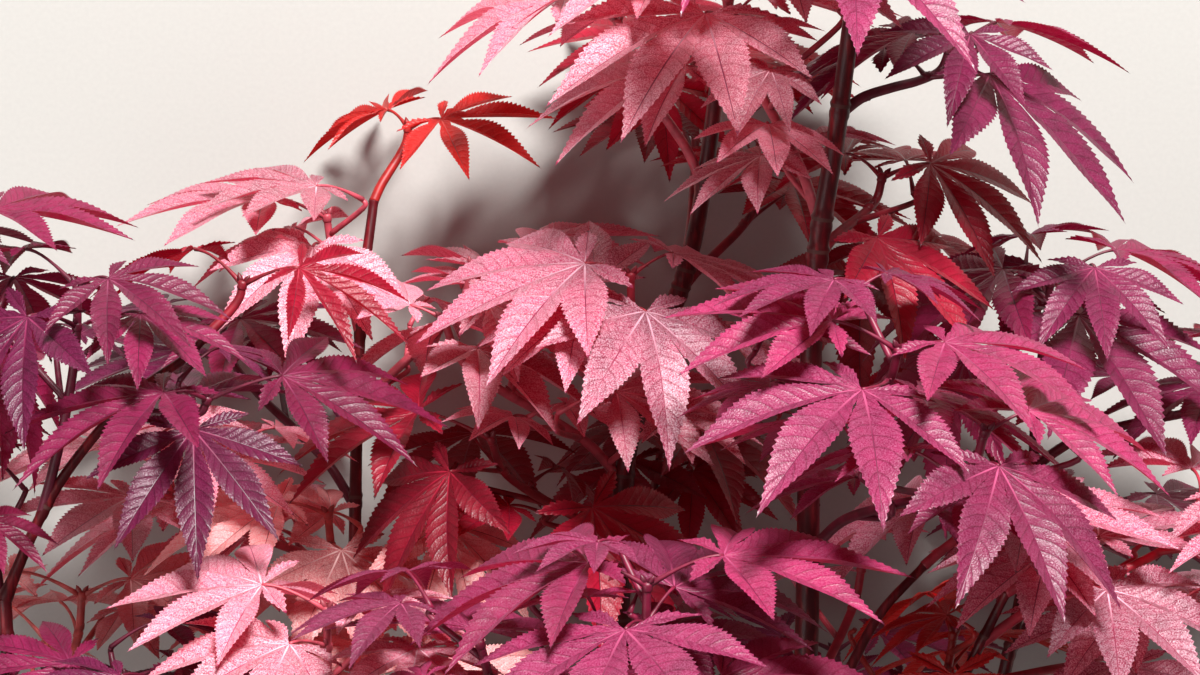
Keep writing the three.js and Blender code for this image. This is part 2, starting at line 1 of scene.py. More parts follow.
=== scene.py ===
"""A cut branch of a red-leaved japanese maple, lying on its leaves.

The limbs are smooth tubes with a ring at each node. Each mass of foliage grows by the rule of its
solid, so its leaves lie where the solid's leaves do, and is then carried to finer twigs and leaves
within the same reach. Places are in millimetres from the middle of the spray: +X runs right across it,
+Y from the cut towards the tips, and +Z up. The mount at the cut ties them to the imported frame.
"""

import json
import math

import bpy
import numpy as np
from mathutils import Matrix, Vector, noise
from mathutils.bvhtree import BVHTree


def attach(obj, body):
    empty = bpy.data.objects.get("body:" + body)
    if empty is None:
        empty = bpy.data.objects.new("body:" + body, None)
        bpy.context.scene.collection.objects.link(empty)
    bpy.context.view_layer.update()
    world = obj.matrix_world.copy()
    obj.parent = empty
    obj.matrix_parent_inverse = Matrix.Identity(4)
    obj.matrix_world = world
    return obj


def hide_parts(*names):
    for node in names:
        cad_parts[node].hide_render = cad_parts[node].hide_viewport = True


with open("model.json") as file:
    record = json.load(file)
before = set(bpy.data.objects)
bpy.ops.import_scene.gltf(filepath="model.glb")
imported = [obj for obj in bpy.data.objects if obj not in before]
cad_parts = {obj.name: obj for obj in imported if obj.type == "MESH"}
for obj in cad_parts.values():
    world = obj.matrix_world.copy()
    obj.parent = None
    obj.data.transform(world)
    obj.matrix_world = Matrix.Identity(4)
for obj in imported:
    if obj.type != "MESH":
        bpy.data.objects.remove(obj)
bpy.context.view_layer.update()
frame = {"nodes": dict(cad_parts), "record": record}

# Sizes that the solids have too.
LEAF_LENGTH = 60  # from the stalk to the tip of the middle lobe
SHOOT_RADIUS = (1.8, 1.35)
SHOOT_BEND = {"along": 0.6, "leave": 0.35, "arrive": 0.3}
SHOOT_STEPS = 5
PLAIN_PAIRS = 2  # the pairs at a shoot's end that are always leaves, not twigs
LEAF_CHANCE = 0.5  # how often a place further back has a leaf rather than a twig
END_LEAF = 0.92  # the size of a shoot's last two leaves against its others
BARE_BASE = 8  # a shoot has no leaves this near its limb
TWIG_LENGTH = (30, 44)
TWIG_RISE = 6  # how far a twig's end turns up
TWIG_LEAF = 0.85  # the size of a twig's leaves against its shoot's
TWIG_CLEAR = 0.12  # the share of a twig, from its shoot, that leaves needn't keep clear of
TWIG_WAY = {"along": 0.6, "out": 0.8}  # how a twig leaves its shoot
KNOT_RADIUS = 2.3  # the swelling at the end of a twig, where its leaves grow
NODES = (0, 13, 38, 66)  # how far each pair of leaves stands back from a shoot's tip
LEAN = math.radians(20)  # how far the way that the leaves face tips up from +Y
LIMB_POINTS = 24  # points of a limb's smooth line from one of its places to the next
ROOM_STEP = 6  # points of that line from one ring of the limb's room to the next
TRIES = 12  # how often a leaf that meets something is tried again
MORE_FREEDOM = 0.12  # how much further each try may turn
SMALLER = 0.02  # how much smaller each try is
HANG = (12, 24, 40)  # how far the leaves of each pair tip down, in degrees
FLATTER = {"magenta": 0.3, "pink": 0.4, "rose": 0.5, "salmon": 0.7}  # the share of HANG that some keep
CLEAR = {"blade": 1.15, "stalk": 1, "limb": 1.2, "from": 0.28}  # the room that each one keeps
LOWEST_ROOM = -147.3  # no finer leaf's corner lies lower
SEEDS = {"mass": 10000, "finer": 5000, "node": 1000, "half": 100, "twig": 50, "hand": 20}
NEXT_HAND = {"plain": 10, "finer": 15}
FACING = Vector((0, math.cos(LEAN), math.sin(LEAN)))
RIGHT = Vector((1, 0, 0))
OUTWARD = Vector((0, -math.sin(LEAN), math.cos(LEAN)))

# How leaves differ: the least and the most of what a seed draws, with angles in degrees.
RANGES = {
    "turn": (-20, 20),
    "tip": (-12, 12),
    "roll": (-14, 14),
    "stalk": (0.28, 0.5),
    "length": (0.88, 1.1),
    "fold": (0.1, 0.4),
    "curl": (0.08, 0.25),
    "spread": (0.88, 1.04),
    "droop": (-0.05, 0.14),
}
STALK_WAY = {"along": 0.5, "out": 0.86}  # how a stalk leaves its node
STALK_BEND = {"before": 0.6, "after": 0.38, "rise": 0.08}  # shares of the stalk up to its bend and past it

# The leaf's lobes: angle in degrees, and length and half width as shares of the leaf's length. The two
# by the stalk have no shoulders in the solid, so their half width there is nothing.
LOBE_ANGLES = (-122, -76, -37, 0, 37, 76, 122)
LOBE_LENGTHS = (0.38, 0.74, 0.94, 1, 0.94, 0.74, 0.38)
LOBE_HALVES = (0, 0.105, 0.125, 0.13, 0.125, 0.105, 0)
SMALL_LOBE_HALF = 0.045
SINUS = (0.2, 0.26, 0.29, 0.29, 0.26, 0.2)  # how far out the gaps between lobes start in the solid
SHOULDER = 0.52  # where the solid's lobes are widest

# Limbs: parent, height where it leaves, the places it passes, and its radius at both ends.
LIMBS = {
    "cut_limb": (None, 0, [(40, -352, -139.2), (46, -295, -104), (52, -240, -70)], (7.5, 6)),
    "front_stem": (
        "cut_limb",
        -240,
        [(60, -175, -30), (66.5, -110, 0), (67, -20, 18), (69, 26, 26), (75, 68, 34), (82, 128, 46)],
        (4.6, 2.6),
    ),
    "rear_stem": (
        "cut_limb",
        -262,
        [(30, -190, -86), (10, -120, -72), (7, -76, -62), (11, -31, -54), (31, 30, -44), (41, 96, -36)],
        (4.4, 2.6),
    ),
    "left_sweep": ("cut_limb", -298, [(10, -288, -100), (-60, -264, -80), (-128, -226, -52)], (4.1, 3.3)),
    "left_riser": ("left_sweep", -226, [(-168, -185, -26), (-190, -130, -6), (-193.5, -85, 0)], (3.1, 2.2)),
    "left_branch": (
        "left_riser",
        -85,
        [(-182, -59, 1), (-171, -41, 2), (-153, -20, 2), (-135, -7, 2), (-129, -1, 2)],
        (1.9, 1.3),
    ),
    "left_back_branch": (
        "left_sweep",
        -264,
        [(-80, -195, -94), (-86, -120, -94), (-86, -50, -92), (-84, 10, -92), (-80, 48, -96)],
        (2.9, 1.7),
    ),
    "right_low_branch": (
        "front_stem",
        -150,
        [(74, -124, 0), (80, -109, 4), (91, -89, 4), (105, -74, 3)],
        (2, 1.4),
    ),
    "right_outer_branch": (
        "front_stem",
        -200,
        [(86, -165, -26), (112, -124, -10), (132, -83, 0)],
        (2.6, 1.5),
    ),
    "right_back_branch": (
        "cut_limb",
        -270,
        [(95, -217, -86), (130, -150, -76), (146, -80, -62), (148, -24, -50)],
        (3.3, 1.7),
    ),
    "forward_branch": ("cut_limb", -282, [(40, -238, -42), (24, -182, 18), (12, -132, 58)], (2.9, 1.8)),
}

# Masses: limb, height where the shoot leaves it, its tip, the way that its end pair points in degrees,
# its pairs of leaves, their size and their colour.
MASSES = {
    "centre_shoot": ("rear_stem", -30, (10, 20, -2), 355, 4, 1, "rose"),
    "left_tip_shoot": ("left_branch", -1, (-116, 17, 2), 15, 1, 0.8, "crimson"),
    "left_middle_shoot": ("left_branch", -26, (-126, -20, 14), 340, 3, 0.95, "purple"),
    "left_upper_shoot": ("left_branch", -58, (-168, 16, 12), 20, 3, 0.95, "purple"),
    "left_outer_shoot": ("left_riser", -100, (-214, 32, 0), 350, 3, 1, "plum"),
    "right_low_shoot": ("right_low_branch", -74, (118, -60, 4), 5, 2, 0.95, "rose"),
    "right_outer_shoot": ("right_outer_branch", -83, (154, -72, 2), 340, 3, 0.95, "rose"),
    "right_young_shoot": ("right_outer_branch", -100, (196, -52, -2), 75, 2, 0.75, "rose"),
    "crown_left_shoot": ("front_stem", 34, (40, 114, 8), 15, 3, 1, "pink"),
    "crown_right_shoot": ("front_stem", 70, (112, 92, 14), 325, 3, 1, "plum"),
    "crown_middle_shoot": ("rear_stem", 14, (54, 50, -46), 30, 3, 0.9, "crimson"),
    "crown_dark_shoot": ("front_stem", 24, (92, 52, -4), 20, 3, 0.9, "crimson"),
    "crown_rear_shoot": ("rear_stem", 50, (6, 104, -22), 15, 2, 1, "pink"),
    "front_right_shoot": ("front_stem", -28, (90, -4, 78), 15, 3, 1, "magenta"),
    "front_low_right_shoot": ("front_stem", -70, (114, -28, 98), 345, 3, 1, "magenta"),
    "front_low_shoot": ("forward_branch", -132, (14, -74, 94), 15, 3, 1, "magenta"),
    "front_low_left_shoot": ("forward_branch", -150, (-36, -92, 84), 345, 3, 1, "magenta"),
    "centre_left_shoot": ("rear_stem", -50, (-52, 6, -28), 335, 4, 1, "pink"),
    "centre_low_shoot": ("rear_stem", -76, (-36, -34, -24), 15, 3, 1, "crimson"),
    "left_low_shoot": ("left_riser", -130, (-152, -110, 14), 10, 3, 1, "purple"),
    "left_lit_shoot": ("left_back_branch", -110, (-92, -60, -46), 350, 4, 1, "salmon"),
    "left_lit_far_shoot": ("left_back_branch", -90, (-150, -44, -52), 15, 3, 1, "pink"),
    "left_corner_shoot": ("left_riser", -150, (-176, -88, -50), 340, 2, 1, "salmon"),
    "rear_top_shoot": ("left_back_branch", 48, (-68, 74, -100), 40, 1, 0.75, "red"),
    "rear_left_shoot": ("left_back_branch", 0, (-96, 42, -91), 345, 3, 1, "pink"),
    "right_shoot": ("right_back_branch", -24, (150, 18, -28), 340, 3, 1.05, "plum"),
    "right_far_shoot": ("right_back_branch", -44, (222, -8, -36), 40, 3, 1, "plum"),
    "right_red_shoot": ("right_outer_branch", -150, (116, -98, -12), 30, 3, 0.95, "red"),
    "right_inner_shoot": ("front_stem", -128, (86, -76, -14), 70, 2, 0.9, "rose"),
    "front_stem_tip_shoot": ("front_stem", 128, (88, 168, 56), 10, 2, 1, "magenta"),
    "rear_stem_tip_shoot": ("rear_stem", 96, (46, 140, -30), 60, 3, 1, "rose"),
    "front_top_shoot": ("front_stem", 104, (60, 128, 86), 330, 2, 1, "magenta"),
    "below_left_shoot": ("left_sweep", -250, (-92, -150, -20), 20, 2, 1, "plum"),
    "below_middle_shoot": ("rear_stem", -150, (-14, -130, -18), 60, 2, 1, "crimson"),
    "below_right_shoot": ("right_outer_branch", -175, (140, -146, 6), 10, 2, 1, "magenta"),
    "under_middle_shoot": ("rear_stem", -100, (22, -34, -116), 20, 2, 1, "crimson"),
    "under_left_shoot": ("left_back_branch", -60, (-136, 4, -118), 60, 2, 1, "purple"),
    "centre_back_shoot": ("left_back_branch", -30, (-44, 24, -62), 20, 3, 1, "pink"),
    "left_inner_shoot": ("left_sweep", -276, (-62, -112, -30), 30, 2, 0.95, "salmon"),
    "right_side_shoot": ("right_outer_branch", -120, (176, -96, -34), 20, 2, 1, "rose"),
    "front_left_shoot": ("left_sweep", -262, (-86, -86, 34), 20, 3, 0.95, "pink"),
    "under_right_shoot": ("right_back_branch", -110, (184, -60, -118), 10, 2, 1, "plum"),
    "under_top_shoot": ("rear_stem", 20, (34, 100, -104), 30, 1, 1, "crimson"),
    "under_right_top_shoot": ("right_back_branch", -74, (110, 30, -104), 70, 2, 1, "crimson"),
    "under_low_shoot": ("right_back_branch", -180, (84, -112, -106), 0, 1, 1, "purple"),
}

# The camera looks straight down at the spray's middle, with the tips towards the top of its picture.
CAMERA_DISTANCE = 1100
CAMERA_ANGLE = math.radians(20.1)
SENSOR_WIDTH = 36

# Finer growth: places between the solid's nodes, and what stands there.
FINER_NODES = (6, 25, 45, 60, 80, 104)
FINER_TURN = 45  # degrees round the shoot from the solid's pairs
FINER_TWIG = (8, 28)
FINER_SIZE = (0.55, 0.85)
FINER_CHANCE = 0.9
FINER_CLEAR = {"from": 0.3, "radius": 0.7}
FINER_RISE = 3
FINER_LEAVES = 2  # the most on a fine twig
REACH_MARGIN = 5  # how far finer growth may leave its solid's box
FOUND_WITHIN = 0.3  # a tip this near the solid lies on it
TIPS_NEEDED = 5

# The look of a leaf, as shares of its length.
TEETH = 22  # on each side of a lobe
SMALL_TEETH = 7
TOOTH = 0.014
TOOTH_LEAST = 0.35  # a tooth where the lobe is thin, against one where it is widest
TOOTH_FORWARD = 1.1  # how far a tooth points along its lobe, against how far out
WEB_ROWS = (0.004, 0.07, 0.14)  # rows where lobes are joined, as shares of a lobe
TOOTHED = (0.19, 0.985)
RIB = 0.001
MIDDLE = 0.5
COLUMNS = (-1, -MIDDLE, -RIB, RIB, MIDDLE, 1)  # shares of a lobe's half width, with the midrib's edges
WIDEST = 0.5
SWELL = 1.6  # how a lobe's width rises to its widest
THINNING = 1.5  # how it falls from there to the tip
THREAD = 0.0006  # half the width of the thread at a lobe's tip
THREAD_ROWS = 3
VEIN = 0.0065
VEIN_THINNING = 0.8
VEIN_LIMIT = 0.4  # the most that a midrib takes of its lobe
VEIN_END = 0.85
SIDE_VEINS = 12  # along each side of a lobe
SIDE_SLANT = 1.6  # how many side veins further a vein ends at the edge than it starts at the midrib
QUILT_DEPTH = 0.0034
DOME = 0.016  # how far each half of a lobe rises between its midrib and its edge
DEEPER_FOLD = 0.2  # how much further a blade folds up here than its plain solid
WAVE_DEPTH = 0.012
WAVES = 3  # half waves along a lobe's margin
PLACE = "leaf_place"  # how far along its lobe, how far out, and its leaf's own tone
YOUNG = {"left_tip_shoot": 0.6, "right_young_shoot": 0.75, "rear_top_shoot": 0.8}  # how broad lobes are
YOUNG_FOLD = 0.5

# Stalks, twigs and limbs.
STALK_RADII = (1.05, 0.55, 0.5, 0.62)
STALK_STEPS = 8
STALK_SIDES = 6
TWIG_RADII = (1.15, 0.85)
TWIG_STEPS = 6
TWIG_SIDES = 8
SHOOT_POINTS = 7
SHOOT_SIDES = 10
BUD_PLACES = (0.6, 1.6, 2.6, 3.6, 4.4)
BUD_RADII = (0.5, 0.95, 1.0, 0.6, 0.1)
BUD_LEAN = 0.55
COLLAR_PLACES = (-1.6, -0.8, 0, 0.8, 1.6)
COLLAR_RADII = (1.3, 1.75, 1.6, 1.75, 1.3)
DRAWN_IN = 0.01  # the radius to which a tube's ends close
LIMB_SIDES = 18
LIMB_STEP = 1.3
FLARE = {"more": 0.35, "reach": 3.5}  # where a limb leaves another
RING_HEIGHT = 0.2
RING_REACH = 2.2
RING_PLACE = 0.7  # how far a ring's two swellings stand from its groove, against its reach
RING_SHARPNESS = 5
GROOVE = 0.3
RIDGE = {"depth": 0.028, "across": 3, "along": 0.05}  # depths here are shares of the limb's radius
GRAIN = {"depth": 0.016, "scale": 0.9}
PORE_RADII = (0.05, 0.2, 0.26, 0.2, 0.05)
PORE_PLACES = (-1, -0.5, 0, 0.5, 1)
PORE_HALVES = (0.35, 0.7)
PORE_SINK = 0.12
PORE_SPACING = 7  # rings of the limb to each pore
END_RINGS = (1, 0.93, 0.84, 0.8, 0.6, 0.57, 0.36, 0.33, 0.14, 0.002)
CUT_PAINTS = (0, 0, 2, 3, 2, 3, 2, 3, 3)  # bark, then wood and growth rings in turn, and pith
CUT_BEVEL = 0.02
TIP_BEVEL = 0.4

# Each spray's colours: blade, another blade, midribs, twigs and sheen, then how strong the sheen is and
# how broad the lobes are against the solids' plain ones. The sheen colour is painted into the blades as a
# pale speckle, which is painted sheen and highlight, and also tints the shader's own velvet sheen.
# Midribs are darker than their blades: painted shade of the groove along each lobe's fold.
SPRAYS = {
    "purple": ("720c38", "560830", "420620", "5a1028", "b05c84", 0.18, 0.88),
    "plum": ("840f40", "6a0a38", "500a28", "62152a", "b86488", 0.2, 0.97),
    "crimson": ("940426", "72021a", "58041a", "7c1020", "cc4c60", 0.16, 1.0),
    "magenta": ("921a4a", "78123e", "601032", "701230", "dc86ac", 0.24, 0.99),
    # Rose, pink and salmon are lighter and more speckled: partly their own tint, partly painted sunlight.
    "rose": ("b6365e", "9a264c", "7c1a3a", "a02a3a", "fad4e2", 0.58, 1.12),
    "pink": ("d05c7a", "b64864", "8c2c48", "ae4250", "fcdce4", 0.6, 1.04),
    "salmon": ("ec8c8e", "d87478", "a84a50", "bc5652", "fee6e2", 0.6, 1.0),
    # Red: its bright red is partly the leaves' own colour and partly a painted glow of light shining
    # through.
    "red": ("c21416", "a20c16", "7c0c12", "941614", "ec6c5a", 0.18, 0.9),
}
BUD_SHADE = 0.6
GLOW = (1.8, 0.35, 0.55)  # how the light that shines through a blade is coloured, against the blade
THINNESS = 0.3  # the share of light that shines through
SHEEN = 0.9  # how strong the shader's velvet at a grazing look is, against the painted sheen's strength
MOTTLE = (0.7, 1.25)  # a blade's darkest and lightest parts
LEAF_TONES = (0.7, 1.25)  # the darkest and lightest leaves
SPECKLE = (0.36, 0.68)  # where the pale speckle of painted sheen starts and where it is full
RIB_START = 0.78  # how near a side vein its colour starts
# Side veins are darkened: partly their own deeper red, partly painted shade in their sunk grooves.
RIB_SHADE = {"colour": 0.9, "share": 0.45}
NET = {"scale": 1100, "edge": 0.3}  # the fine mesh of veins
MIDRIB_TURN = (0.08, 0.42)  # where a midrib turns from pale to its painted groove shade
STREAK_STRETCH = (1, 0.16, 0.6)
# The bark, and a lit copy of it that its lightest streaks take, which is painted light.
BARK = "4e0a12"
BARK_LIT = "841c24"
SCAR = "4c2420"
CUT_WOOD = "d9bd92"
CUT_PITH = "8a5a3c"
FLOOR = "a6a39e"
FLOOR_HALF = 4
WORLD_LIGHT = {"colour": (1, 0.97, 0.97, 1), "strength": 0.13}
LIGHTS_AIM = (0, 0, 0.12)

MILLIMETRE = 0.001
LOWEST = 0.0001  # metres: leaves and bark that rest on the floor stay this far above it
cut_mount = next(m for m in frame["record"]["mounts"] if m["name"] == "cut_end")
shift = np.array(cut_mount["pos_m"]) / MILLIMETRE - np.array(LIMBS["cut_limb"][2][0])


def to_frame(points):
    """Places of the spray, in millimetres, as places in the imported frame, in metres."""
    return (np.asarray(points, float) + shift) * MILLIMETRE


def seeded(seed):
    """A run of numbers from 0 to 1 that a seed fixes, the same as in the solid's source."""
    mask = 0xFFFFFFFF
    state = seed & mask

    def draw():
        nonlocal state
        state = (state + 0x6D2B79F5) & mask
        t = ((state ^ (state >> 15)) * (1 | state)) & mask
        t = ((t + (t ^ (t >> 7)) * (61 | t)) & mask) ^ t
        return (t ^ (t >> 14)) / 2**32

    return draw


def between(draw, low, high):
    return low + (high - low) * draw()


def level_way(degrees):
    angle = math.radians(degrees)
    return RIGHT * math.cos(angle) + OUTWARD * math.sin(angle)


# Lines of limbs and shoots.


def smooth_line(places, steps):
    """A line of cubic pieces through the places, with a number of steps in each."""
    places = [Vector(p) for p in places]
    before = places[0] * 2 - places[1]
    after = places[-1] * 2 - places[-2]
    knots = [before, *places, after]
    line = []
    for i in range(len(places) - 1):
        p0, p1, p2, p3 = knots[i : i + 4]
        for k in range(steps):
            t = k / steps
            pull = (p2 - p0) * 0.5
            push = (p3 - p1) * 0.5
            cubic = (p1 - p2) * 2 + pull + push
            square = (p2 - p1) * 3 - pull * 2 - push
            line.append(((cubic * t + square) * t + pull) * t + p1)
    return [*line, places[-1]]


def on_line(line, height):
    """Where a line first reaches a height along +Y, and the way that it runs there."""
    for i in range(1, len(line)):
        if line[i].y < height and i < len(line) - 1:
            continue
        low, high = line[i - 1], line[i]
        share = min(1, max(0, (height - low.y) / (high.y - low.y)))
        return low.lerp(high, share), (high - low).normalized()


def shoot_line(base, limb_way, tip):
    """A shoot's line: it leaves its limb aslant, and turns towards the way that the leaves face."""
    span = (tip - base).length
    leaving = ((tip - base).normalized() + limb_way * SHOOT_BEND["along"]).normalized()
    first = base + leaving * span * SHOOT_BEND["leave"]
    second = tip - FACING * span * SHOOT_BEND["arrive"]
    line = []
    for k in range(SHOOT_STEPS + 1):
        t = k / SHOOT_STEPS
        u = 1 - t
        line.append(base * u**3 + first * 3 * u * u * t + second * 3 * u * t * t + tip * t**3)
    return line


def back_from_tip(line, distance):
    """The point at a distance back from the end of a line, and the way that it runs there."""
    left = distance
    for i in range(len(line) - 1, 0, -1):
        step = (line[i] - line[i - 1]).length
        if left <= step:
            way = (line[i] - line[i - 1]).normalized()
            return line[i].lerp(line[i - 1], left / step), way
        left -= step
    return line[0], (line[1] - line[0]).normalized()


def length_of(line):
    return sum((b - a).length for a, b in zip(line, line[1:]))


# Leaves, as the solid's rule draws them.


class Leaf:
    """A leaf's stalk, place, ways, size and folds."""

    def __init__(self, node, way, level, hang, size, seed, freedom):
        draw = seeded(seed)

        def drawn(name):
            return between(draw, *RANGES[name])

        turn = drawn("turn") * freedom
        tip = math.radians(hang + drawn("tip") * freedom)
        roll = math.radians(drawn("roll"))
        stalk = drawn("stalk") * LEAF_LENGTH * size
        self.length = drawn("length") * LEAF_LENGTH * size
        self.fold = drawn("fold")
        curl = drawn("curl")
        self.spread = drawn("spread")
        self.droops = [curl + drawn("droop") for _ in LOBE_ANGLES]
        out = level_way(level + turn)
        rising = (way * STALK_WAY["along"] + out * STALK_WAY["out"]).normalized()
        self.node = node
        self.bend = node + rising * stalk * STALK_BEND["before"]
        self.centre = self.bend + out * stalk * STALK_BEND["after"] + FACING * stalk * STALK_BEND["rise"]
        self.forward = out * math.cos(tip) - FACING * math.sin(tip)
        flat_up = FACING * math.cos(tip) + out * math.sin(tip)
        self.normal = Matrix.Rotation(roll, 3, self.forward) @ flat_up
        self.side = self.normal.cross(self.forward)
        self.seed = seed

    def placed(self, x, y, z):
        """From the leaf's own frame, in shares of its length, to the spray's."""
        return self.centre + (self.forward * x + self.side * y + self.normal * z) * self.length

    def at(self, lobe, reach, offset):
        """A point by its reach along a lobe's middle line and its offset from it."""
        angle = math.radians(LOBE_ANGLES[lobe] * self.spread)
        x = reach * math.cos(angle) - offset * math.sin(angle)
        y = reach * math.sin(angle) + offset * math.cos(angle)
        return self.placed(x, y, self.fold * abs(offset) - self.droops[lobe] * reach**2)

    def tips(self):
        return [self.at(i, length, 0) for i, length in enumerate(LOBE_LENGTHS)]

    def outline(self):
        """The corners of the solid's blade, from one side of the stalk round to the other."""
        rim = []
        for i, (length, half) in enumerate(zip(LOBE_LENGTHS, LOBE_HALVES)):
            corners = ((SHOULDER, -half), (1, 0), (SHOULDER, half)) if half else ((1, 0),)
            rim += [self.at(i, length * share, offset) for share, offset in corners]
            if i < len(SINUS):
                angle = math.radians((LOBE_ANGLES[i] + LOBE_ANGLES[i + 1]) / 2 * self.spread)
                low = -self.droops[i] * SINUS[i] ** 2
                rim.append(self.placed(SINUS[i] * math.cos(angle), SINUS[i] * math.sin(angle), low))
        return rim


# Room: what a new leaf has to keep clear of.


def grid_faces(rows, columns, closed=False):
    """The faces of a grid of corners, row after row; a closed one joins its last column to its first."""
    across = columns if closed else columns - 1
    row, column = np.meshgrid(np.arange(rows - 1), np.arange(across), indexing="ij")
    after = (column + 1) % columns
    here = row * columns
    beyond = here + columns
    return np.stack([here + column, here + after, beyond + after, beyond + column], -1).reshape(-1, 4)


def room_of(corners, faces):
    array = np.array(corners)
    return array.min(0), array.max(0), BVHTree.FromPolygons(corners, faces)


def tube_room(points, radius):
    """A three-sided tube round a line."""
    corners = []
    for i, point in enumerate(points):
        along = points[min(i + 1, len(points) - 1)] - points[max(i - 1, 0)]
        across = along.orthogonal().normalized()
        for k in range(3):
            turned = Matrix.Rotation(2 * math.pi * k / 3, 3, along) @ across
            corners.append(point + turned * radius)
    return room_of(corners, grid_faces(len(points), 3, True).tolist())


def blade_room(leaf):
    """A slab as wide as the blade, from above it to below it."""
    outline = [leaf.centre, *leaf.outline()]
    count = len(outline)
    corners = [p + leaf.normal * CLEAR["blade"] for p in outline]
    corners += [p - leaf.normal * CLEAR["blade"] for p in outline]
    faces = []
    for i in range(count):
        after = (i + 1) % count
        if i and after:
            faces += [(0, i, after), (count, count + after, count + i)]
        faces.append((i, count + i, count + after, after))
    return room_of(corners, faces)


def rooms_of(leaf):
    """A leaf's rooms: its blade's, and its stalk's but for the part by the node."""
    start = leaf.node.lerp(leaf.bend, CLEAR["from"])
    return blade_room(leaf), tube_room([start, leaf.bend, leaf.centre], CLEAR["stalk"])


def meets(a, b):
    if np.any(a[0] > b[1]) or np.any(b[0] > a[1]):
        return False
    return bool(a[2].overlap(b[2]))


def is_clear(*rooms):
    """Whether rooms meet nothing that is taken."""
    return not any(meets(room, other) for other in taken for room in rooms)


# Growth: first the leaves that the solids have, then the finer ones.


def leaf_tries(node, way, level, hang, size, seed):
    """A leaf's tries, each freer to turn and a little smaller than the one before."""
    for attempt in range(TRIES):
        smaller = size * (1 - attempt * SMALLER)
        yield Leaf(node, way, level, hang, smaller, seed + attempt, 1 + attempt * MORE_FREEDOM)


def twig_way(way, level):
    """The way that a twig leaves a shoot that runs a way, towards a level angle."""
    return (way * TWIG_WAY["along"] + level_way(level) * TWIG_WAY["out"]).normalized()


